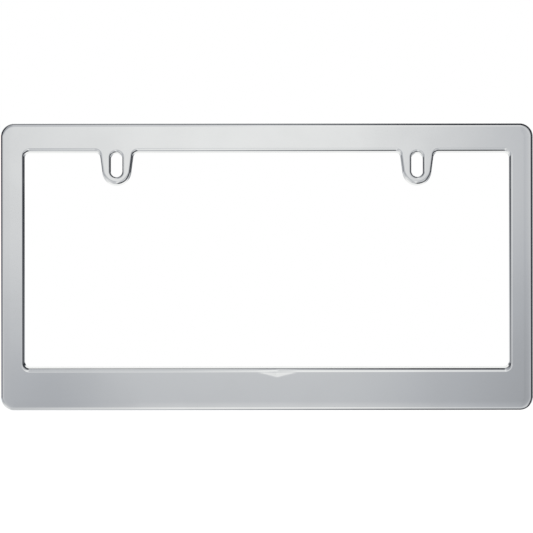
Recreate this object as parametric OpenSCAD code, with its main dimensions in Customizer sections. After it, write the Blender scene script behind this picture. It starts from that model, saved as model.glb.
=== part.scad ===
// Number plate holder: a chromed frame cast in one piece, with a rolled front edge, a
// window for the plate and two slotted bolt tabs that hang into it. The back is hollow.
// It is drawn lying on its back, with x to the right, y up and z towards the viewer, and
// is then stood up: the face looks along -Y, and +Z is up. The origin is the centre of
// the plane of the outer rim, which meets the bodywork.

/* [Overall size] */
// Width over the outer rim
frame_w = 315; // [290:1:380]
// Height over the outer rim
frame_h = 170; // [150:1:210]
// Depth from the face to the plane of the outer rim
depth = 6.4; // [5.6:0.1:8]
// Radius of the frame's corners
corner_r = 8; // [5:0.5:14]

/* [Rails] */
// Width of each side rail
side_rail = 14; // [10:0.5:20]
// Width of the top rail
top_rail = 17.5; // [14:0.5:24]
// Width of the bottom rail
bottom_rail = 26; // [14:0.5:34]
// Radius of the window's corners, at the back
window_r = 3.2; // [2:0.1:8]

/* [Walls and edges] */
// Thickness of the face, the rims and the walls
wall = 1.6; // [1.2:0.1:2]
// Radius of the roll round the outer edge
outer_roll = 2; // [1.5:0.1:2.2]
// Width of the outer edge, from the foot of its wall to the flat face
outer_edge_w = 2.24; // [2.22:0.02:2.8]
// Radius of the roll round the window and the tabs
inner_roll = 1.4; // [1.4:0.1:2]
// Width of the window's edge, from the foot of its sloping wall to the flat face
inner_edge_w = 2.3; // [2.2:0.02:3.2]
// Radius of the roll round each bolt slot
slot_roll = 1.3; // [1.2:0.1:2.2]
// How far the plate's seat stands in front of the outer rim
seat_depth = 2; // [1:0.1:2.4]

/* [Bolt tabs] */
// Distance between the two bolt slots
slot_spacing = 177.8; // [150:0.1:215]
// Width of each slot
slot_w = 7; // [6:0.1:9]
// Length of each slot, end to end
slot_l = 14; // [10:0.5:18]
// Distance of the slots' centres below the top of the frame
slot_drop = 24.85; // [23:0.05:30]
// Width of the flat crest between a tab's rolled edge and its slot's
tab_crest = 1.5; // [0.2:0.1:3]
// Lean of each side of a tab, in degrees
tab_taper = 7.5; // [2:0.5:12]
// Radius of the fillets where a tab grows out of the rail, at the back
root_r = 3; // [2:0.1:4]
// Least width of the solid pad behind the rail on each side of a tab's root
pad_margin = 2; // [1:0.5:6]
// Height of the pad above the slot
pad_rise = 7; // [5:0.5:8]
// Radius of the pad's upper corners
pad_r = 2; // [1:0.5:3]

/* [Back ribs] */
// Thickness of the ribs
rib_t = 1.4; // [1:0.1:2]
// Number of ribs across the bottom rail
bottom_ribs = 6; // [2:1:10]
// Number of ribs across each side rail
side_ribs = 2; // [1:1:5]
// Number of ribs across the top rail between the tabs
top_ribs = 3; // [1:1:6]

/* [Hidden] */
$fn = 96;
chrome = [0.80, 0.81, 0.82];

HOLLOW = 0;
SOLID = 1;

// Shapes that meet at slanting or tangent seams are joined at this scale, where rounding
// errors are too small to leave slivers between them
fine = 0.001;

// Heights above the plane of the outer rim
seat_z = seat_depth;
web_z = depth - wall;

// The window, as it measures at the back
window_w = frame_w - 2 * side_rail;
window_h = frame_h - top_rail - bottom_rail;
window_top = frame_h / 2 - top_rail;
window_bottom = bottom_rail - frame_h / 2;
window_mid = (window_top + window_bottom) / 2;

// A tab is laid out from the centre of its slot's lower end
slot_r = slot_w / 2;
slot_run_l = slot_l - slot_w;
tab_y = frame_h / 2 - slot_drop - slot_run_l / 2;
tab_r = slot_r + slot_roll + tab_crest + inner_edge_w;
tab_turn = 90 - tab_taper;
root_y = window_top - root_r - tab_y;
root_x = (tab_r + root_r + root_y * sin(tab_taper)) / cos(tab_taper);
tab_side = (root_y + (root_r + tab_r) * sin(tab_taper)) / cos(tab_taper);

// The pad is a whole number of millimetres wide each side of the slot
pad_half = ceil(root_x + pad_margin);
pad_bottom = window_top + inner_edge_w;
pad_top = tab_y + slot_run_l + slot_r + pad_rise;
pad_corner = min(pad_r, (pad_top - pad_bottom) / 2);

// Lean of the wall that rises from its foot and is tangent to the roll above it
function draft(foot, roll, edge_w) =
    let (up = depth - roll - foot)
    atan2(edge_w, up) - asin(roll / norm([edge_w, up]));

// Section of an edge: x runs from the outline into the metal, and y up to the face.
// A sloping wall stands on its foot and rolls over into the face. A hollow edge is one
// wall thick, and a solid one is filled down to the foot.
module edge_section(foot, roll, edge_w, kind) {
    lean = draft(foot, roll, edge_w);
    wall_top = [edge_w - roll * cos(lean), depth - roll * (1 - sin(lean))];
    sharp_corner = [tan(lean) * (depth - foot), depth];
    roll_end = [edge_w, depth];
    foot_w = wall / cos(lean);
    scale(1 / fine) {
        scale(fine)
            polygon(kind == HOLLOW
                ? [[0, foot], wall_top, roll_end, [edge_w, web_z],
                   [foot_w + tan(lean) * (web_z - foot), web_z], [foot_w, foot]]
                : [[0, foot], wall_top, roll_end, [edge_w, foot]]);
        intersection() {
            scale(fine)
                polygon([wall_top, sharp_corner, roll_end]);
            scale(fine)
                translate([edge_w, depth - roll])
                    circle(roll);
        }
    }
}

// An outline is a list of moves, each [length, 0, kind] for a straight stretch or
// [radius, turn, kind] for a bend, with a turn to the left positive. The metal lies on
// the left of the line. A pose is [x, y, heading].
function after(pose, move) =
    move[1] == 0
    ? [pose.x + move[0] * cos(pose.z), pose.y + move[0] * sin(pose.z), pose.z]
    : let (r = sign(move[1]) * move[0], heading = pose.z + move[1])
      [pose.x + r * (sin(heading) - sin(pose.z)),
       pose.y - r * (cos(heading) - cos(pose.z)), heading];

function poses(start, moves) =
    [for (i = 0, pose = start; i < len(moves); pose = after(pose, moves[i]), i = i + 1) pose];

// One stretch of an edge, which starts at the origin and heads along x
module stretch(length_or_radius, turn) {
    if (turn == 0)
        rotate([90, 0, 90])
            linear_extrude(length_or_radius)
                children();
    else if (turn > 0)
        translate([0, length_or_radius, 0])
            rotate([0, 0, -90])
                rotate_extrude(angle = turn)
                    translate([length_or_radius, 0])
                        mirror([1, 0])
                            children();
    else
        translate([0, -length_or_radius, 0])
            rotate([0, 0, 90 + turn])
                rotate_extrude(angle = -turn)
                    translate([length_or_radius, 0])
                        children();
}

// An edge along a whole outline, drawn at the given scale
module edge(start, moves, foot, roll, edge_w, unit = 1) {
    at = poses(start, moves);
    for (i = [0 : len(moves) - 1])
        scale(unit)
            translate([at[i].x, at[i].y, 0])
                rotate([0, 0, at[i].z])
                    stretch(moves[i][0], moves[i][1])
                        edge_section(foot, roll, edge_w, moves[i][2]);
}

function around(w, h, r, turn) =
    [for (side = [w, h, w, h]) each [[side - 2 * r, 0, HOLLOW], [r, turn, HOLLOW]]];

module outer_edge() {
    edge([corner_r - frame_w / 2, -frame_h / 2, 0],
         around(frame_w, frame_h, corner_r, 90), 0, outer_roll, outer_edge_w);
}

// The window's outline runs clockwise in two parts, which leave out the tabs
module window_edge() {
    inside = slot_spacing / 2 - pad_half;
    outside = slot_spacing / 2 + pad_half;
    shoulder = [window_w / 2 - window_r - outside, 0, HOLLOW];
    corner = [window_r, -90, HOLLOW];
    upright = [window_h - 2 * window_r, 0, HOLLOW];
    sill = [window_w - 2 * window_r, 0, HOLLOW];
    edge([-inside, window_top, 0], [[2 * inside, 0, HOLLOW]],
         seat_z, inner_roll, inner_edge_w);
    edge([outside, window_top, 0],
         [shoulder, corner, upright, corner, sill, corner, upright, corner, shoulder],
         seat_z, inner_roll, inner_edge_w);
}

// From one side of the pad to the other, down round the tab
module tab_edge() {
    lead = [pad_half - root_x, 0, SOLID];
    root = [root_r, -tab_turn, SOLID];
    side = [tab_side, 0, SOLID];
    edge([-pad_half, window_top, 0],
         [lead, root, side, [tab_r, 2 * tab_turn, SOLID], side, root, lead],
         seat_z, inner_roll, inner_edge_w, fine);
}

module slot_edge() {
    edge([-slot_r, tab_y, 90],
         [for (end = [0, 1]) each [[slot_run_l, 0, SOLID], [slot_r, -180, SOLID]]],
         seat_z, slot_roll, slot_roll, fine);
}

module rounded_rectangle(w, h, r) {
    square([w - 2 * r, h], center = true);
    square([w, h - 2 * r], center = true);
    for (x = [-1, 1], y = [-1, 1])
        translate([x * (w / 2 - r), y * (h / 2 - r)])
            circle(r);
}

module slot_area(grow) {
    translate([-slot_r - grow, tab_y])
        square([slot_w + 2 * grow, slot_run_l]);
    for (y = [tab_y, tab_y + slot_run_l])
        translate([0, y])
            circle(slot_r + grow);
}

// A tab with its root fillets, drawn in from its outline by the given inset
module tab_area(inset) {
    out = [cos(tab_taper), sin(tab_taper)];
    end = (tab_r - inset) * out;
    bend = (root_r + inset) * out;
    top = root_y + root_r + inset;
    translate([0, tab_y]) {
        difference() {
            polygon([[-root_x, root_y], [-root_x, top], [root_x, top], [root_x, root_y],
                     [root_x - bend.x, root_y + bend.y], [end.x, -end.y],
                     [-end.x, -end.y], [bend.x - root_x, root_y + bend.y]]);
            for (side = [-1, 1])
                translate([side * root_x, root_y])
                    circle(root_r + inset);
        }
        circle(tab_r - inset);
    }
}

module at_tabs() {
    for (side = [-1, 1])
        translate([side * slot_spacing / 2, 0, 0])
            children();
}

// The flat of the face, one wall thick, between the rolled edges
module web() {
    translate([0, 0, web_z])
        linear_extrude(wall)
            difference() {
                rounded_rectangle(frame_w - 2 * outer_edge_w, frame_h - 2 * outer_edge_w,
                                  corner_r - outer_edge_w);
                translate([0, window_mid])
                    rounded_rectangle(window_w + 2 * inner_edge_w, window_h + 2 * inner_edge_w,
                                      window_r + inner_edge_w);
                at_tabs() pad_area(0);
            }
}

module pad_area(r) {
    translate([-pad_half, pad_bottom])
        square([2 * pad_half, pad_top - pad_bottom - r]);
    if (r > 0) {
        translate([r - pad_half, pad_bottom])
            square([2 * (pad_half - r), pad_top - pad_bottom]);
        for (side = [-1, 1])
            translate([side * (pad_half - r), pad_top - r])
                circle(r);
    }
}

// The metal inside the rolled edges of a tab and its slot, from one height to another
module tab_core(from_z, to_z, r) {
    scale(fine)
        translate([0, 0, from_z])
            linear_extrude(to_z - from_z)
                difference() {
                    union() {
                        tab_area(inner_edge_w);
                        pad_area(r);
                    }
                    slot_area(slot_roll);
                }
}

// A bolt tab with its slot, the flat of the face round it and the solid pad behind it
module bolt_tab() {
    scale(1 / fine) {
        tab_edge();
        slot_edge();
        tab_core(web_z, depth, 0);
        tab_core(seat_z, web_z, pad_corner);
    }
}

// A rib from one y to another, which ends inside the walls that it joins
module rib(x, from_y, to_y) {
    translate([x - rib_t / 2, from_y, seat_z])
        cube([rib_t, to_y - from_y, web_z - seat_z]);
}

module ribs() {
    bite = wall / 2;
    lean = draft(seat_z, inner_roll, inner_edge_w);
    inner_bite = (tan(lean) * (web_z - seat_z) + wall) / 2;
    bottom_pitch = window_w / bottom_ribs;
    side_pitch = window_h / side_ribs;
    top_pitch = slot_spacing / (top_ribs + 1);
    for (i = [1 : bottom_ribs])
        rib((i - (bottom_ribs + 1) / 2) * bottom_pitch,
            bite - frame_h / 2, window_bottom - inner_bite);
    for (i = [1 : top_ribs])
        rib((i - (top_ribs + 1) / 2) * top_pitch,
            window_top + inner_bite, frame_h / 2 - bite);
    at_tabs()
        rib(0, pad_top - wall, frame_h / 2 - bite);
    for (side = [-1, 1], i = [1 : side_ribs])
        translate([0, window_mid + (i - (side_ribs + 1) / 2) * side_pitch, 0])
            rotate([0, 0, -90 * side])
                rib(0, window_w / 2 + inner_bite, frame_w / 2 - bite);
}

module plate_frame() {
    color(chrome)
        rotate([90, 0, 0]) {
            web();
            outer_edge();
            window_edge();
            at_tabs() bolt_tab();
            ribs();
        }
}

plate_frame();
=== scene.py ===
"""Number plate holder: a chromed frame, cast in one piece with its two bolt tabs.

The frame is drawn lying on its back, with x to the right, y up its face and z towards
the viewer, and is then stood up to look along -Y. Each of its edges is a section drawn
by one vertex, and the section then draws the edge along its outline.
"""

from math import atan2, ceil, radians, sin, tan
from typing import NamedTuple

import bmesh
import bpy
from bpy.props import (
    BoolProperty,
    FloatProperty,
    FloatVectorProperty,
    IntProperty,
    PointerProperty,
)
from mathutils import Matrix, Quaternion, Vector


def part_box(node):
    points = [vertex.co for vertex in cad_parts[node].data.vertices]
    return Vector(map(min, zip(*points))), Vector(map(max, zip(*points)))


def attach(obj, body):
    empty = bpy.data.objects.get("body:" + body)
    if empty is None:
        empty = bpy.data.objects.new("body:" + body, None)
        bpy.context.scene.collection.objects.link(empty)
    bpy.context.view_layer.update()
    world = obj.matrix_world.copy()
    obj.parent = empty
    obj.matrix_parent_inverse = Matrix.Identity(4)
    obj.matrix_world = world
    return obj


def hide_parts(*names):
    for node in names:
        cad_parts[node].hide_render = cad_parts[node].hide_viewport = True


bl_info = {
    "name": "Number Plate Holder",
    "version": (1, 0, 0),
    "blender": (4, 5, 0),
    "location": "View3D > Sidebar > Plate Holder",
    "description": "Builds a chromed plate frame with two bolt tabs, and a studio for it",
    "category": "Add Mesh",
}

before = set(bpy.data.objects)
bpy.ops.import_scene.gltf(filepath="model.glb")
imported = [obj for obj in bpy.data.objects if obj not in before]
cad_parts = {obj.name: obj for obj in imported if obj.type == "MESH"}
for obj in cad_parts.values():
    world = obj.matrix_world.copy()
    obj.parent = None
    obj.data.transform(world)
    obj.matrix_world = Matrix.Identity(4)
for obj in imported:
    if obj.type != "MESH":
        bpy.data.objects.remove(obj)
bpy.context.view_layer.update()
CAD_LOW, CAD_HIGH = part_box("plate_frame")

MM = 0.001
RIGHT = Vector((1, 0, 0))
UP = Vector((0, 0, 1))

# Material slots of the frame
POLISHED = 0
CAST = 1

# Length that separates two vertices of the drawing at least
WELD = 0.003 * MM
# How near to a level a vertex has to be to lie on it
LEVEL = 0.01 * MM


def length(name, description, default_mm, **limits):
    """A size in millimetres, kept in metres"""
    return FloatProperty(name=name, description=description, default=default_mm * MM,
                         unit="LENGTH", precision=5, **limits)


def angle(name, description, default_degrees):
    """An angle in degrees, kept in radians"""
    return FloatProperty(name=name, description=description,
                         default=radians(default_degrees), subtype="ANGLE")


def colour(name, description, default):
    return FloatVectorProperty(name=name, description=description, default=default,
                               subtype="COLOR", min=0.0, max=1.0)


def share(name, description, default):
    return FloatProperty(name=name, description=description, default=default,
                         min=0.0, max=1.0, subtype="FACTOR")


class PlateFrameSizes(bpy.types.PropertyGroup):
    """Sizes of the cast frame"""

    width: length("Width", "Width over the outer rim", (CAD_HIGH.x - CAD_LOW.x) / MM)
    height: length("Height", "Height over the outer rim", (CAD_HIGH.z - CAD_LOW.z) / MM)
    depth: length("Depth", "From the face to the back of the rim",
                  (CAD_HIGH.y - CAD_LOW.y) / MM)
    corner_r: length("Corner Radius", "Radius of the frame's corners", 8)
    side_rail: length("Side Rail", "Width of each side rail", 14)
    top_rail: length("Top Rail", "Width of the top rail", 17.5)
    bottom_rail: length("Bottom Rail", "Width of the bottom rail", 26)
    window_r: length("Window Radius", "Radius of the window's corners at the back", 3.2)
    wall: length("Wall", "Thickness of the face, the rims and the walls", 1.6)
    seat_depth: length("Seat Depth", "From the back of the rim to the plate's seat", 2)
    outer_roll: length("Outer Roll", "Radius of the roll round the outer edge", 2)
    outer_draft: angle("Outer Draft", "Lean of the outer wall", 3.08)
    inner_roll: length("Window Roll", "Radius of the roll round the window", 1.4)
    inner_draft: angle("Window Draft", "Lean of the walls beside the window", 3)
    window_flare: length("Window Flare", "How much further the face stands back above and"
                         " below the window than beside it", 1.1)
    sill_softness: length("Sill Softness", "How much wider the roll is along the bottom"
                          " rail", 0.55)
    slot_roll: length("Slot Roll", "Radius of the roll round each bolt slot", 1.3)
    rim_r: length("Rim Radius", "Radius of the edges at the back", 0.2)
    fillet_r: length("Fillet", "Radius of the fillets inside the hollow back", 0.8)
    buffed_w: length("Buffed Width", "How far in the outer edge is softened by buffing",
                     4.0)
    buffed_r: length("Buffed Radius", "Radius of the softened part of the face", 45)
    buffed_lean: angle("Buffed Lean", "Lean of the face where it meets the roll", 2.6)


class BoltTabSizes(bpy.types.PropertyGroup):
    """Sizes of the two tabs that hang into the window, and of their slots"""

    spacing: length("Spacing", "Distance between the two bolt slots", 177.8)
    slot_w: length("Slot Width", "Width of each slot", 7)
    slot_l: length("Slot Length", "Length of each slot, end to end", 14)
    slot_drop: length("Slot Drop", "Slots' centres below the top of the frame", 24.85)
    slot_flare: length("Slot Flare", "How much further the face stands back above a slot"
                       " than beside it", 0.9)
    end_r: length("End Radius", "Radius of the tab's round end", 8.6)
    taper: angle("Taper", "Lean of each side of a tab", 7.5)
    root_r: length("Root Fillet", "Radius of the fillets where a tab meets the rail", 3)
    pad_half: length("Pad Half Width", "Half the width of the solid pad behind a tab", 15)
    pad_top: length("Pad Top", "Height of the pad above the middle of the frame", 74.15)
    pad_r: length("Pad Radius", "Radius of the pad's upper corners", 2)
    pad_root_r: length("Pad Fillet", "Radius of the fillets beside the pad", 2.4)


class RibSizes(bpy.types.PropertyGroup):
    """The ribs that stiffen the hollow back"""

    thickness: length("Thickness", "Thickness of a rib at half its height", 1.4)
    lean: length("Lean", "How much thinner a rib is at its top than at its foot", 0.3)
    flare: length("Flare", "Radius of the fillets at a rib's foot", 0.6)
    edge_r: length("Edge Radius", "Radius of the edges along a rib's top", 0.3)
    bottom: IntProperty(name="Bottom Ribs", description="Ribs across the bottom rail",
                        default=6, min=1)
    side: IntProperty(name="Side Ribs", description="Ribs across each side rail",
                      default=2, min=1)
    top: IntProperty(name="Top Ribs", description="Ribs between the tabs",
                     default=3, min=1)


class SillHollow(bpy.types.PropertyGroup):
    """The faint hollow in the rolled edge of the bottom rail, which catches the light"""

    centre: length("Centre", "Place along the rail, from the middle of the frame", 6.1)
    half_w: length("Half Width", "Half the length of the hollow along the rail", 13)
    reach: length("Reach", "How far the hollow runs into the face", 2.6)
    slope: angle("Slope", "Lean of the surface inside the hollow", 5)
    soft: length("Softness", "Width over which its border fades", 0.3)


class ChromeFinish(bpy.types.PropertyGroup):
    """Colours and surface of the plating"""

    polished: colour("Polished", "Colour of the polished chrome", (0.86, 0.865, 0.87))
    cast: colour("Cast", "Colour of the plating on the unpolished back",
                 (0.70, 0.71, 0.73))
    polished_roughness: share("Polished Roughness", "Roughness of the face", 0.05)
    cast_roughness: share("Cast Roughness", "Roughness of the unpolished back", 0.34)


class StudioSettings(bpy.types.PropertyGroup):
    """Camera, floor and light"""

    distance: length("Camera Distance", "From the camera to the back of the frame", 1200)
    lens: FloatProperty(name="Lens", description="Focal length, in millimetres",
                        default=136.5, unit="CAMERA")
    offset_x: length("Camera X", "Place of the camera to the right", -0.25)
    offset_z: length("Camera Z", "Height of the camera", 0.22)
    roll: angle("Camera Roll", "Turn of the camera about its line of sight", 0.06)
    floor_drop: length("Floor Drop", "Floor below the middle of the frame", 250)
    floor_size: length("Floor Size", "Width of the square floor", 6000)
    lamp_power: FloatProperty(name="Lamp Power", description="Power of the soft lamp",
                              default=18, unit="POWER")
    show_white: BoolProperty(name="White Background",
                             description="Show the floor and the surroundings as white",
                             default=True)


class Move(NamedTuple):
    """One move of a path: a straight of some length or, where it turns, a bend of some
    radius, or of none at a sharp corner. A turn to the left is positive."""

    size: float
    turn: float


class Path(NamedTuple):
    """A path in its own plane, as a start, a heading and the moves from there"""

    start: Vector
    heading: Vector
    moves: list


def rounded_path(*corners):
    """The path through corners, each (x, y) or (x, y, radius of its rounding)"""
    points = [Vector(corner[:2]) for corner in corners]
    runs = [after - before for before, after in zip(points, points[1:])]
    moves = []
    cut = 0.0
    for i, run in enumerate(runs):
        left = run.length - cut
        turn = cut = 0.0
        if i + 1 < len(runs):
            turn = atan2(run.cross(runs[i + 1]), run.dot(runs[i + 1]))
            radius = corners[i + 1][2] if len(corners[i + 1]) > 2 else 0.0
            cut = radius * tan(abs(turn) / 2)
        if left - cut < -WELD:
            raise ValueError(f"no room for the roundings beside corner {i + 1} at "
                             f"{points[i + 1]}: {left:.5f} of {cut:.5f}")
        if left - cut > WELD:
            moves.append(Move(left - cut, 0.0))
        if turn:
            moves.append(Move(radius, turn))
    return Path(points[0], runs[0].normalized(), moves)


def draw(bm, geom, moves, at, heading, axis, step):
    """Draws with the geometry along the moves, in the plane across the axis. A vertex
    leaves a line behind, and a line leaves a surface."""
    for move in moves:
        if move.turn:
            side = 1 if move.turn > 0 else -1
            centre = at + axis.cross(heading) * side * move.size
            turned = Quaternion(axis, move.turn)
            if move.size:
                drawn = bmesh.ops.spin(bm, geom=geom, cent=centre, axis=axis,
                                       angle=move.turn, use_duplicate=False,
                                       steps=ceil(abs(move.turn) / step))
                geom = drawn["geom_last"]
            at = centre + turned @ (at - centre)
            heading = turned @ heading
        else:
            run = heading * move.size
            drawn = bmesh.ops.spin(bm, geom=geom, cent=at, axis=axis, dvec=run,
                                   angle=0.0, steps=1, use_duplicate=False)
            geom = drawn["geom_last"]
            at = at + run


def draw_line(bm, path, place, step):
    """Draws a path with one vertex. The place is a function from the path's own plane
    to the drawing, and the vertices and edges of the line are returned."""
    at = place(path.start)
    heading = place(path.start + path.heading) - at
    axis = heading.cross(place(path.start + path.heading.orthogonal()) - at)
    known = set(bm.verts)
    draw(bm, [bm.verts.new(at)], path.moves, at, heading, axis.normalized(), step)
    line = [vert for vert in bm.verts if vert not in known]
    return line + list({edge for vert in line for edge in vert.link_edges})


def draw_edge(bm, outline, section, finish, outline_step=radians(5),
              section_step=radians(6)):
    """Draws an edge of the casting. The outline starts towards +x, and the section's x
    runs from the outline towards +y there, and its y up to the face."""
    start = outline.start
    known = set(bm.faces)
    line = draw_line(bm, section,
                     lambda point: Vector((start.x, start.y + point.x, point.y)),
                     section_step)
    draw(bm, line, outline.moves, start.to_3d(), outline.heading.to_3d(), UP,
         outline_step)
    for face in bm.faces:
        if face not in known:
            face.material_index = finish


def fill_level(bm, level, finish):
    """Fills the flat area between the open edges at one level"""
    rim = [edge for edge in bm.edges if edge.is_boundary
           and all(abs(vert.co.z - level) < LEVEL for vert in edge.verts)]
    filled = bmesh.ops.triangle_fill(bm, edges=rim, use_beauty=True, use_dissolve=False,
                                     normal=UP)
    for face in filled["geom"]:
        if isinstance(face, bmesh.types.BMFace):
            face.material_index = finish


class Layout:
    """Places and sections that follow from the sizes, all in the drawing's frame"""

    def __init__(self, sizes, tabs):
        self.sizes = sizes
        self.tabs = tabs
        self.right = sizes.width / 2
        self.top = sizes.height / 2
        self.web = sizes.depth - sizes.wall
        self.seat = sizes.seat_depth
        self.window_right = self.right - sizes.side_rail
        self.window_top = self.top - sizes.top_rail
        self.window_bottom = sizes.bottom_rail - self.top
        self.lean = tan(sizes.inner_draft)
        self.flared_lean = self.lean + sizes.window_flare / (sizes.depth - self.seat)
        self.foot_w = sizes.wall / Vector((1, self.lean)).normalized().x
        self.tab_x = tabs.spacing / 2
        self.slot_y = self.top - tabs.slot_drop
        self.tab_y = self.slot_y - (tabs.slot_l - tabs.slot_w) / 2

    def outer_outline(self):
        r = self.sizes.corner_r
        return rounded_path((0, -self.top), (self.right, -self.top, r),
                            (self.right, self.top, r), (0, self.top))

    def window_outline(self):
        """Clockwise from the middle of the top, down round the tab on its way"""
        tabs = self.tabs
        r = self.sizes.window_r
        tip_y = self.tab_y - tabs.end_r / sin(tabs.taper)
        half = (self.window_top - tip_y) * tan(tabs.taper)
        return rounded_path((0, self.window_top),
                            (self.tab_x - half, self.window_top, tabs.root_r),
                            (self.tab_x, tip_y, tabs.end_r),
                            (self.tab_x + half, self.window_top, tabs.root_r),
                            (self.window_right, self.window_top, r),
                            (self.window_right, self.window_bottom, r),
                            (0, self.window_bottom))

    def slot_outline(self):
        r = self.tabs.slot_w / 2
        left, right = self.tab_x - r, self.tab_x + r
        top, bottom = (self.slot_y + side * self.tabs.slot_l / 2 for side in (1, -1))
        return rounded_path((self.tab_x, top), (right, top, r), (right, bottom, r),
                            (left, bottom, r), (left, top, r), (self.tab_x, top))

    def hollow_outline(self):
        """The inner side of the window's wall, which goes up round the pad"""
        tabs = self.tabs
        r = self.sizes.window_r + self.foot_w
        wall_y = self.window_top + self.foot_w
        left, right = self.tab_x - tabs.pad_half, self.tab_x + tabs.pad_half
        far = self.window_right + self.foot_w
        low = self.window_bottom - self.foot_w
        return rounded_path((0, wall_y), (left, wall_y, tabs.pad_root_r),
                            (left, tabs.pad_top, tabs.pad_r),
                            (right, tabs.pad_top, tabs.pad_r),
                            (right, wall_y, tabs.pad_root_r),
                            (far, wall_y, r), (far, low, r), (0, low))

    def outer_section(self):
        """From the flat of the face over the roll to the middle of the rim's back"""
        sizes = self.sizes
        drop = tan(sizes.buffed_lean)
        lean = tan(sizes.outer_draft)
        y = (sizes.depth - drop * sizes.buffed_w) / (1 - drop * lean)
        return rounded_path((sizes.buffed_w + 2 * MM, sizes.depth),
                            (sizes.buffed_w, sizes.depth, sizes.buffed_r),
                            (lean * y, y, sizes.outer_roll),
                            (0, 0, sizes.rim_r), (sizes.wall / 2, 0))

    def outer_back_section(self):
        """From the middle of the rim's back to the back of the face"""
        sizes = self.sizes
        top_x = sizes.wall + tan(sizes.outer_draft) * self.web
        return rounded_path((sizes.wall / 2, 0), (sizes.wall, 0, sizes.rim_r),
                            (top_x, self.web, sizes.fillet_r),
                            (top_x + sizes.fillet_r + 0.2 * MM, self.web))

    def window_section(self):
        return self.rolled_section(self.sizes.inner_roll, self.lean)

    def slot_section(self):
        return self.rolled_section(self.sizes.slot_roll, 0.0)

    def rolled_section(self, roll, lean):
        """From the flat of the face over the roll to the plate's seat"""
        sizes = self.sizes
        edge_x = lean * (sizes.depth - self.seat)
        strip = 0.12 * MM
        flat_x = edge_x + roll * tan((radians(90) - atan2(lean, 1)) / 2) + strip
        return rounded_path((flat_x, sizes.depth), (edge_x, sizes.depth, roll),
                            (0, self.seat, sizes.rim_r), (2 * sizes.rim_r, self.seat))

    def wall_mid(self, lean):
        """How far the middle of a leaning wall stands back from the window"""
        return (lean * (self.web - self.seat) + self.sizes.wall) / 2

    def hollow_section(self):
        """From the plate's seat up the inner side of the wall to the back of the face"""
        sizes = self.sizes
        top_x = self.lean * (self.web - self.seat)
        return rounded_path((-2 * sizes.rim_r, self.seat), (0, self.seat, sizes.rim_r),
                            (top_x, self.web, sizes.fillet_r),
                            (top_x + sizes.fillet_r, self.web))


def flare(verts, layout, middle, above, below, softness=0.0):
    """Sets back what stands above and below the middle, most at the face. The softness
    widens the roll below the middle."""
    sizes = layout.sizes
    for vert in verts:
        rise = (vert.co.z - layout.seat) / (sizes.depth - layout.seat)
        if vert.co.y > middle:
            vert.co.y += above * rise
        else:
            roll_rise = max(0.0, 1 - (sizes.depth - vert.co.z) / sizes.inner_roll)
            vert.co.y -= below * rise + softness * roll_rise ** 2


def mirror_halves(bm):
    """Joins the drawn right half to its mirror image"""
    bmesh.ops.remove_doubles(bm, verts=bm.verts, dist=WELD)
    bmesh.ops.mirror(bm, geom=bm.verts[:] + bm.edges[:] + bm.faces[:],
                     matrix=Matrix(), merge_dist=WELD, axis="X")
    bmesh.ops.remove_doubles(bm, verts=bm.verts, dist=WELD)


def cut_patch(bm, low, high, axis, pitch):
    """Cuts the front faces of a patch across an axis at every pitch"""
    normal = Vector((0, 0, 0))
    normal[axis] = 1
    for i in range(1, ceil((high[axis] - low[axis]) / pitch)):
        place = low.copy()
        place[axis] += i * pitch
        faces = [face for face in bm.faces
                 if face.material_index == POLISHED
                 and all(min(v.co[k] for v in face.verts) < high[k] - LEVEL
                         and max(v.co[k] for v in face.verts) > low[k] + LEVEL
                         for k in range(3))]
        edges = {edge for face in faces for edge in face.edges}
        verts = {vert for face in faces for vert in face.verts}
        bmesh.ops.bisect_plane(bm, geom=[*faces, *edges, *verts], dist=LEVEL / 10,
                               plane_co=place, plane_no=normal)


def press_sill_hollow(bm, layout, hollow):
    """Presses the faint hollow into the rolled edge of the bottom rail"""
    sizes = layout.sizes
    foot_y = layout.window_bottom
    edge_w = layout.window_section().start.x + sizes.window_flare + sizes.sill_softness
    low = Vector((hollow.centre - hollow.half_w, foot_y - edge_w - hollow.reach - 2 * MM,
                  layout.seat))
    high = Vector((hollow.centre + hollow.half_w, foot_y + MM, sizes.depth + MM))
    cut_patch(bm, low, high, 0, MM)
    cut_patch(bm, low, high, 1, 0.4 * MM)
    for vert in bm.verts:
        x, y, z = vert.co
        along = abs(x - hollow.centre) / hollow.half_w
        if along >= 1 or z < layout.seat + LEVEL or not low.y < y < high.y:
            continue
        reach = hollow.reach * (1 - along) ** 1.5
        inside = foot_y - y - edge_w
        if inside > 0:
            left = reach - inside
            depth = ((left ** 2 + hollow.soft ** 2) ** 0.5 + left) / 2 - hollow.soft / 9
        else:
            depth = reach * max(0.0, 1 + inside / edge_w)
        vert.co.z -= tan(hollow.slope) * max(0.0, depth) * (1 - along ** 4)


def stand_up(bm):
    """Stands the drawing up, with its face towards -Y"""
    bmesh.ops.rotate(bm, verts=bm.verts, cent=(0, 0, 0),
                     matrix=Matrix.Rotation(radians(90), 3, "X"))


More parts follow.
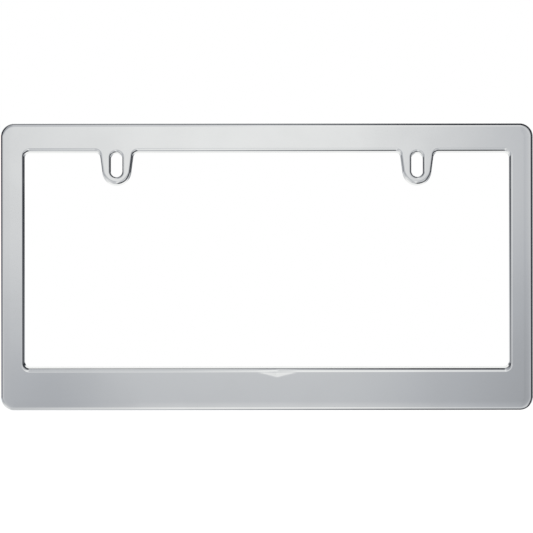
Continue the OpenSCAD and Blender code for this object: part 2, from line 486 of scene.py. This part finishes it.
def add_rib(bm, layout, ribs, run, place):
    """Adds a rib of that run, from the place of its start"""
    known = set(bm.verts)
    top = layout.seat + 0.1 * MM
    foot = layout.web + 0.02 * MM
    base = layout.web + layout.sizes.wall / 4
    foot_x = ribs.thickness / 2 + ribs.lean / 4
    top_x = ribs.thickness / 2 - ribs.lean / 4
    far = foot_x + 2 * ribs.flare
    section = rounded_path((0, base), (far, base), (far, foot),
                           (foot_x, foot, ribs.flare), (top_x, top, ribs.edge_r),
                           (-top_x, top, ribs.edge_r), (-foot_x, foot, ribs.flare),
                           (-far, foot), (-far, base), (0, base))
    draw_line(bm, section, lambda point: Vector((point.x, 0, point.y)), radians(18))
    verts = [vert for vert in bm.verts if vert not in known]
    bmesh.ops.remove_doubles(bm, verts=verts, dist=WELD)
    edges = {edge for vert in bm.verts if vert not in known for edge in vert.link_edges}
    cap = bmesh.ops.edgeloop_fill(bm, edges=list(edges))["faces"]
    far_end = bmesh.ops.extrude_face_region(bm, geom=cap)["geom"]
    bmesh.ops.translate(bm, vec=(0, run, 0),
                        verts=[v for v in far_end if isinstance(v, bmesh.types.BMVert)])
    bmesh.ops.transform(bm, matrix=place,
                        verts=[vert for vert in bm.verts if vert not in known])


def draw_ribs(layout, ribs):
    """Every rib, each a closed bar whose ends are sunk in the walls that it joins"""
    bm = bmesh.new()
    sizes = layout.sizes
    bite = sizes.wall / 2
    side_bite = layout.wall_mid(layout.lean)
    flared_bite = layout.wall_mid(layout.flared_lean)
    window_mid = (layout.window_top + layout.window_bottom) / 2
    bottom_pitch = 2 * layout.window_right / ribs.bottom
    side_pitch = (layout.window_top - layout.window_bottom) / ribs.side
    top_pitch = layout.tabs.spacing / (ribs.top + 1)
    top_run = sizes.top_rail - bite - flared_bite
    for i in range(ribs.bottom):
        add_rib(bm, layout, ribs, sizes.bottom_rail - bite - flared_bite,
                Matrix.Translation(((i + 0.5 - ribs.bottom / 2) * bottom_pitch,
                                    bite - layout.top, 0)))
    for i in range(ribs.top):
        add_rib(bm, layout, ribs, top_run,
                Matrix.Translation(((i + 0.5 - ribs.top / 2) * top_pitch,
                                    layout.window_top + flared_bite, 0)))
    for side in (-1, 1):
        add_rib(bm, layout, ribs, layout.top - bite - layout.tabs.pad_top + sizes.wall,
                Matrix.Translation((side * layout.tab_x,
                                    layout.tabs.pad_top - sizes.wall, 0)))
        for i in range(ribs.side):
            y = window_mid + (i + 0.5 - ribs.side / 2) * side_pitch
            add_rib(bm, layout, ribs, sizes.side_rail - bite - side_bite,
                    Matrix.Translation((side * (layout.window_right + side_bite), y, 0))
                    @ Matrix.Rotation(radians(-90 * side), 4, "Z"))
    for face in bm.faces:
        face.material_index = CAST
    stand_up(bm)
    bmesh.ops.recalc_face_normals(bm, faces=bm.faces)
    return bm


def draw_casting(layout, hollow):
    """The whole skin of the frame apart from its ribs"""
    bm = bmesh.new()
    sizes = layout.sizes
    draw_edge(bm, layout.window_outline(), layout.window_section(), POLISHED)
    flare(bm.verts, layout, 0.0, sizes.window_flare, sizes.window_flare,
          sizes.sill_softness)
    known = set(bm.verts)
    draw_edge(bm, layout.hollow_outline(), layout.hollow_section(), CAST)
    flare([vert for vert in bm.verts if vert not in known], layout, 0.0,
          sizes.window_flare, sizes.window_flare)
    known = set(bm.verts)
    draw_edge(bm, layout.slot_outline(), layout.slot_section(), POLISHED)
    flare([vert for vert in bm.verts if vert not in known], layout, layout.slot_y,
          layout.tabs.slot_flare, 0.0)
    outer = layout.outer_outline()
    draw_edge(bm, outer, layout.outer_section(), POLISHED)
    draw_edge(bm, outer, layout.outer_back_section(), CAST)
    mirror_halves(bm)
    fill_level(bm, sizes.depth, POLISHED)
    fill_level(bm, layout.seat, CAST)
    fill_level(bm, layout.web, CAST)
    press_sill_hollow(bm, layout, hollow)
    stand_up(bm)
    bmesh.ops.recalc_face_normals(bm, faces=bm.faces)
    if not all(edge.is_manifold for edge in bm.edges):
        raise RuntimeError("the casting's skin isn't closed")
    return bm


def keep_mesh(bm, name, materials):
    """Makes an object of a bmesh, smooth all over"""
    mesh = bpy.data.meshes.new(name)
    for face in bm.faces:
        face.smooth = True
    bm.to_mesh(mesh)
    bm.free()
    piece = bpy.data.objects.new(name, mesh)
    for material in materials:
        mesh.materials.append(material)
    bpy.context.scene.collection.objects.link(piece)
    return piece


def fuse(piece, part):
    """Fuses a part with a piece and takes the part away"""
    union = piece.modifiers.new("Fused", "BOOLEAN")
    union.operation = "UNION"
    union.solver = "EXACT"
    union.object = part
    whole = piece.evaluated_get(bpy.context.evaluated_depsgraph_get())
    fused = bpy.data.meshes.new_from_object(whole)
    piece.modifiers.remove(union)
    drawn = piece.data
    piece.data = fused
    bpy.data.meshes.remove(drawn)
    bpy.data.meshes.remove(part.data)
    fused.name = piece.name


def add_node(tree, kind, inputs=None, **settings):
    """Adds a node with its settings, and with its inputs set or linked"""
    node = tree.nodes.new(kind)
    for name, value in settings.items():
        setattr(node, name, value)
    for name, value in (inputs or {}).items():
        if isinstance(value, bpy.types.NodeSocket):
            tree.links.new(value, node.inputs[name])
        else:
            node.inputs[name].default_value = value
    count = len(tree.nodes) - 1
    node.location = (220 * (count // 4), -260 * (count % 4))
    return node


def math(tree, operation, a, b=0.0, **settings):
    return add_node(tree, "ShaderNodeMath", {0: a, 1: b}, operation=operation,
                    **settings).outputs[0]


def ramp(tree, value, start, end, low=0.0, high=1.0):
    """Eases from low to high as the value goes from the start to the end"""
    return add_node(tree, "ShaderNodeMapRange",
                    {"Value": value, "From Min": start, "From Max": end,
                     "To Min": low, "To Max": high},
                    interpolation_type="SMOOTHSTEP").outputs["Result"]


def blend(tree, factor, a, b):
    return add_node(tree, "ShaderNodeMix", {"Factor": factor, "A": a, "B": b},
                    data_type="FLOAT").outputs["Result"]


def blend_colours(tree, factor, a, b):
    node = add_node(tree, "ShaderNodeMix", {0: factor}, data_type="RGBA")
    for socket, value in ((node.inputs[6], a), (node.inputs[7], b)):
        if isinstance(value, bpy.types.NodeSocket):
            tree.links.new(value, socket)
        else:
            socket.default_value = value
    return node.outputs[2]


def surface_marks_group():
    """Node group with what polishing or casting leaves on a metal surface: a slow
    unevenness, fine lines along x and a grain, as one height, and a haze"""
    group = bpy.data.node_groups.new("Surface Marks", "ShaderNodeTree")
    for name, kind, default in (("Wave Length", "NodeSocketFloat", 0.09),
                                ("Wave Height", "NodeSocketFloat", 30e-6),
                                ("Grain Length", "NodeSocketFloat", 0.0004),
                                ("Grain Height", "NodeSocketFloat", 1e-6),
                                ("Line Height", "NodeSocketFloat", 1e-6),
                                ("Roughness", "NodeSocketFloat", 0.05),
                                ("Haze", "NodeSocketFloat", 0.02)):
        socket = group.interface.new_socket(name=name, in_out="INPUT",
                                            socket_type=kind)
        socket.default_value = default
    for name in ("Roughness", "Height", "Haze"):
        group.interface.new_socket(name=name, in_out="OUTPUT",
                                   socket_type="NodeSocketFloat")
    given = add_node(group, "NodeGroupInput").outputs
    place = add_node(group, "ShaderNodeTexCoord").outputs["Object"]

    def noise(scale, at=place, detail=2.0):
        return add_node(group, "ShaderNodeTexNoise",
                        {"Vector": at, "Scale": scale, "Detail": detail,
                         "Roughness": 0.5}).outputs[0]

    wave = noise(math(group, "DIVIDE", 1.0, given["Wave Length"]), detail=1.0)
    grain = noise(math(group, "DIVIDE", 1.0, given["Grain Length"]))
    along = add_node(group, "ShaderNodeMapping",
                     {"Vector": place, "Scale": (1.0, 25.0, 25.0)}).outputs["Vector"]
    lines = noise(90.0, along, 3.0)
    height = math(group, "MULTIPLY", wave, given["Wave Height"])
    for marks, share_of_height in ((grain, "Grain Height"), (lines, "Line Height")):
        height = math(group, "ADD", height,
                      math(group, "MULTIPLY", marks, given[share_of_height]))
    haze = ramp(group, noise(35.0, detail=4.0), 0.4, 0.75)
    rough = math(group, "ADD", given["Roughness"],
                 math(group, "MULTIPLY", haze, given["Haze"]))
    rough = math(group, "ADD", rough,
                 math(group, "MULTIPLY", ramp(group, lines, 0.55, 0.7),
                      math(group, "MULTIPLY", given["Haze"], 0.5)))
    add_node(group, "NodeGroupOutput", {"Roughness": rough, "Height": height,
                                        "Haze": haze})
    return group


def metal_material(name, base, hazed, marks, values):
    """A plated metal, whose colour turns to the hazed one where it is duller"""
    material = bpy.data.materials.new(name)
    material.use_nodes = True
    tree = material.node_tree
    tree.nodes.clear()
    surface = add_node(tree, "ShaderNodeGroup", node_tree=marks)
    for socket, value in values.items():
        surface.inputs[socket].default_value = value
    tint = blend_colours(tree, surface.outputs["Haze"], (*base, 1), (*hazed, 1))
    bump = add_node(tree, "ShaderNodeBump",
                    {"Height": surface.outputs["Height"], "Strength": 1.0,
                     "Distance": 1.0})
    metal = add_node(tree, "ShaderNodeBsdfPrincipled",
                     {"Base Color": tint, "Metallic": 1.0,
                      "Roughness": surface.outputs["Roughness"],
                      "Normal": bump.outputs["Normal"]})
    add_node(tree, "ShaderNodeOutputMaterial", {"Surface": metal.outputs["BSDF"]})
    return material


class PLATEHOLDER_OT_cast_frame(bpy.types.Operator):
    """Build the chromed frame with its tabs, hollow back and ribs"""

    bl_idname = "plate_holder.cast_frame"
    bl_label = "Cast Frame"
    bl_options = {"REGISTER", "UNDO"}

    def execute(self, context):
        scene = context.scene
        finish = scene.plate_holder_finish
        marks = surface_marks_group()
        polished = metal_material(
            "Polished Chrome", finish.polished, [0.97 * part for part in finish.polished],
            marks, {"Roughness": finish.polished_roughness, "Haze": 0.03,
                    "Wave Height": 30e-6, "Grain Height": 0.0, "Line Height": 0.15e-6})
        cast = metal_material(
            "Plated Casting", finish.cast, [0.8 * part for part in finish.cast],
            marks, {"Roughness": finish.cast_roughness, "Haze": 0.16,
                    "Wave Length": 0.012, "Wave Height": 60e-6,
                    "Grain Length": 0.0005, "Grain Height": 24e-6,
                    "Line Height": 0.0})
        layout = Layout(scene.plate_holder_frame, scene.plate_holder_tabs)
        piece = keep_mesh(draw_casting(layout, scene.plate_holder_sill),
                          "chromed_frame", (polished, cast))
        ribs = keep_mesh(draw_ribs(layout, scene.plate_holder_ribs), "back_ribs",
                         (polished, cast))
        fuse(piece, ribs)
        flats = piece.modifiers.new("Flat Areas", "WEIGHTED_NORMAL")
        flats.mode = "FACE_AREA"
        flats.weight = 50
        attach(piece, "root")
        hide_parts("plate_frame")
        return {"FINISHED"}


def product(tree, first, *others):
    for other in others:
        first = math(tree, "MULTIPLY", first, other)
    return first


def build_world(scene, white):
    """Surroundings of a photographic studio, which the chrome mirrors and the camera sees
    as plain white. It is bright in front and behind, with a dark band round the sides
    that the steep part of each rolled edge mirrors as a line."""
    world = bpy.data.worlds.new("Studio")
    scene.world = world
    world.use_nodes = True
    tree = world.node_tree
    tree.nodes.clear()
    place = add_node(tree, "ShaderNodeTexCoord").outputs["Generated"]
    toward = add_node(tree, "ShaderNodeSeparateXYZ", {"Vector": place}).outputs
    side, back, up = toward["X"], toward["Y"], toward["Z"]
    wide = math(tree, "ABSOLUTE", side)
    high = math(tree, "ABSOLUTE", up)

    # Mirrored by the flat face: brightest above the middle, darkest low at the right
    shade_at = math(tree, "ABSOLUTE", math(tree, "ADD", side, 0.103))
    shade = blend(tree, ramp(tree, up, -0.035, -0.055),
                  1.0, ramp(tree, shade_at, 0.0, 0.036, 0.86, 1.0))
    level = product(tree, ramp(tree, up, -0.075, 0.05, 0.66, 1.0),
                    ramp(tree, side, 0.02, 0.16, 0.905, 0.552),
                    ramp(tree, side, 0.14, 0.20, 1.0, 1.15),
                    ramp(tree, side, -0.03, -0.16, 1.0, 0.845),
                    blend(tree, ramp(tree, side, -0.1, -0.03), 1.0,
                          ramp(tree, up, -0.075, -0.14, 1.0, 1.15)), shade)

    # Mirrored where an edge begins to roll over
    beside = ramp(tree, up, -0.06, 0.06, 0.62, 0.72)
    aslant = ramp(tree, wide, 0.3, 0.5)
    below = product(tree, ramp(tree, wide, 0.03, 0.13, 0.92, 0.63),
                    blend(tree, aslant, 1.0, ramp(tree, up, -0.2, -0.6, 0.7, 1.2)))
    above = product(tree, ramp(tree, side, -0.06, 0.03, 0.67, 0.97),
                    ramp(tree, wide, 0.06, 0.13, 1.0, 0.86),
                    ramp(tree, wide, 0.13, 0.3, 1.0, 0.7))
    rolling = blend(tree, ramp(tree, high, 0.08, 0.25), beside,
                    blend(tree, ramp(tree, up, -0.05, 0.05), below, above))
    level = blend(tree, ramp(tree, back, -0.985, -0.94), level, rolling)

    # Mirrored by the steep part of the roll: darker to the right, and above at the left
    across = product(tree, ramp(tree, side, -0.14, 0.10, 0.60, 0.02),
                     ramp(tree, up, -0.3, 0.3, 1.1, 0.25))
    beneath = ramp(tree, up, -0.3, -0.7, 1.0, 1.7)
    steep = blend(tree, ramp(tree, side, -0.25, -0.5), across,
                  product(tree, ramp(tree, up, -0.25, 0.10, 0.52, 0.03), beneath))
    sooner = product(tree, ramp(tree, side, -0.5, -0.75), ramp(tree, back, -0.6, -0.35))
    to_right = product(tree, ramp(tree, side, -0.08, 0.1), ramp(tree, high, 0.3, 0.5))
    start = blend(tree, to_right, ramp(tree, back, -0.2, 0.1),
                  blend(tree, ramp(tree, up, -0.1, 0.1), ramp(tree, back, -0.6, 0.0),
                        ramp(tree, back, -0.85, -0.35)))
    level = blend(tree, math(tree, "MAXIMUM", start, sooner), level, steep)
    level = blend(tree, ramp(tree, side, 0.5, 0.75), level, 0.03)

    # Mirrored by the outer wall when it is seen from the right: a narrow strip light
    strip = product(tree, ramp(tree, side, 0.9, 0.96), ramp(tree, back, -0.15, -0.12),
                    ramp(tree, back, -0.065, -0.095))
    level = blend(tree, strip, level, ramp(tree, up, -0.14, 0.06, 0.55, 0.3))

    # Mirrored by the back when it is seen from above: a pale floor
    level = blend(tree, product(tree, aslant, ramp(tree, back, 0.2, 0.5),
                                ramp(tree, up, -0.08, -0.18),
                                ramp(tree, up, -0.6, -0.45)), level, 0.85)

    # Mirrored by the walls: white from above and below, shaded beside the window
    upright = blend(tree, ramp(tree, side, -0.1, 0.1),
                    ramp(tree, up, -0.06, 0.06, 0.69, 0.21),
                    ramp(tree, up, -0.06, 0.04, 0.36, 0.03))
    walls = blend(tree, product(tree, ramp(tree, wide, 0.02, 0.08),
                                ramp(tree, high, 0.15, 0.45, 1.0, 0.0)), 1.05, upright)
    walls = blend(tree, product(tree, ramp(tree, up, 0.05, 0.2),
                                ramp(tree, back, 0.84, 0.9)), walls, level)
    level = blend(tree, ramp(tree, back, 0.68, 0.79), level, walls)

    tint = add_node(tree, "ShaderNodeValToRGB", {"Fac": level})
    stops = tint.color_ramp.elements
    stops[0].color = (0.010, 0.012, 0.018, 1)
    stops[1].color = (0.995, 1.0, 0.985, 1)
    stops.new(0.5).color = (0.480, 0.496, 0.522, 1)
    seen = add_node(tree, "ShaderNodeLightPath").outputs
    soft = blend_colours(tree, seen["Is Glossy Ray"], (0.7, 0.7, 0.7, 1),
                         tint.outputs["Color"])
    if white:
        soft = blend_colours(tree, seen["Is Camera Ray"], soft, (1, 1, 1, 1))
    shown = add_node(tree, "ShaderNodeBackground", {"Color": soft, "Strength": 1.0})
    add_node(tree, "ShaderNodeOutputWorld", {"Surface": shown.outputs["Background"]})


def floor_material(white):
    """A pale floor that looks white to the camera where nothing shades it"""
    material = bpy.data.materials.new("Studio Floor")
    material.use_nodes = True
    tree = material.node_tree
    tree.nodes.clear()
    place = add_node(tree, "ShaderNodeTexCoord").outputs["Object"]
    speckle = add_node(tree, "ShaderNodeTexNoise", {"Vector": place, "Scale": 40.0})
    pale = blend_colours(tree, speckle.outputs[0], (0.78, 0.78, 0.78, 1),
                         (0.82, 0.82, 0.82, 1))
    floor = add_node(tree, "ShaderNodeBsdfPrincipled",
                     {"Base Color": pale, "Roughness": 0.9,
                      "Emission Color": (1, 1, 1, 1)})
    if white:
        seen = add_node(tree, "ShaderNodeLightPath").outputs["Is Camera Ray"]
        tree.links.new(math(tree, "MULTIPLY", seen, 0.45),
                       floor.inputs["Emission Strength"])
    add_node(tree, "ShaderNodeOutputMaterial", {"Surface": floor.outputs["BSDF"]})
    return material


class PLATEHOLDER_OT_studio(bpy.types.Operator):
    """Build the floor, the light and the camera"""

    bl_idname = "plate_holder.studio"
    bl_label = "Studio"
    bl_options = {"REGISTER", "UNDO"}

    def execute(self, context):
        scene = context.scene
        studio = scene.plate_holder_studio
        scene.view_settings.view_transform = "Standard"
        build_world(scene, studio.show_white)

        bm = bmesh.new()
        bmesh.ops.create_grid(bm, x_segments=1, y_segments=1, size=studio.floor_size / 2,
                              matrix=Matrix.Translation((0, 0, -studio.floor_drop)))
        floor = keep_mesh(bm, "studio_floor", [floor_material(studio.show_white)])
        floor.visible_glossy = False

        light = bpy.data.lights.new("Soft Lamp", "AREA")
        light.shape = "DISK"
        light.size = 1.2
        light.energy = studio.lamp_power
        lamp = bpy.data.objects.new("Soft Lamp", light)
        lamp.location = (-0.5, -0.5, 1.3)
        lamp.rotation_euler = (-lamp.location).to_track_quat("-Z", "Y").to_euler()
        lamp.visible_glossy = False
        scene.collection.objects.link(lamp)

        view = bpy.data.cameras.new("Photograph")
        view.lens = studio.lens
        view.sensor_width = 36
        view.clip_start = 0.01
        camera = bpy.data.objects.new("Photograph", view)
        camera.location = (studio.offset_x, -studio.distance, studio.offset_z)
        camera.rotation_euler = (radians(90), studio.roll, 0)
        scene.collection.objects.link(camera)
        scene.camera = camera
        return {"FINISHED"}


class PLATEHOLDER_PT_sidebar(bpy.types.Panel):
    """Sizes, finish and studio of the plate holder"""

    bl_idname = "PLATEHOLDER_PT_sidebar"
    bl_label = "Plate Holder"
    bl_space_type = "VIEW_3D"
    bl_region_type = "UI"
    bl_category = "Plate Holder"

    def draw(self, context):
        layout = self.layout
        layout.use_property_split = True
        for title, name, _ in SETTINGS:
            group = getattr(context.scene, name)
            box = layout.box()
            box.label(text=title)
            for prop in group.bl_rna.properties:
                if prop.identifier not in ("rna_type", "name"):
                    box.prop(group, prop.identifier)
        for operator in OPERATORS:
            layout.operator(operator.bl_idname)


SETTINGS = (
    ("Frame", "plate_holder_frame", PlateFrameSizes),
    ("Bolt Tabs", "plate_holder_tabs", BoltTabSizes),
    ("Ribs", "plate_holder_ribs", RibSizes),
    ("Sill Hollow", "plate_holder_sill", SillHollow),
    ("Finish", "plate_holder_finish", ChromeFinish),
    ("Studio", "plate_holder_studio", StudioSettings),
)
OPERATORS = (PLATEHOLDER_OT_cast_frame, PLATEHOLDER_OT_studio)


def register():
    for _, name, group in SETTINGS:
        bpy.utils.register_class(group)
        setattr(bpy.types.Scene, name, PointerProperty(type=group))
    for operator in OPERATORS:
        bpy.utils.register_class(operator)
    bpy.utils.register_class(PLATEHOLDER_PT_sidebar)


def unregister():
    bpy.utils.unregister_class(PLATEHOLDER_PT_sidebar)
    for operator in reversed(OPERATORS):
        bpy.utils.unregister_class(operator)
    for _, name, group in reversed(SETTINGS):
        delattr(bpy.types.Scene, name)
        bpy.utils.unregister_class(group)


def main():
    register()
    bpy.ops.plate_holder.cast_frame()
    bpy.ops.plate_holder.studio()


if __name__ == "__main__":
    main()
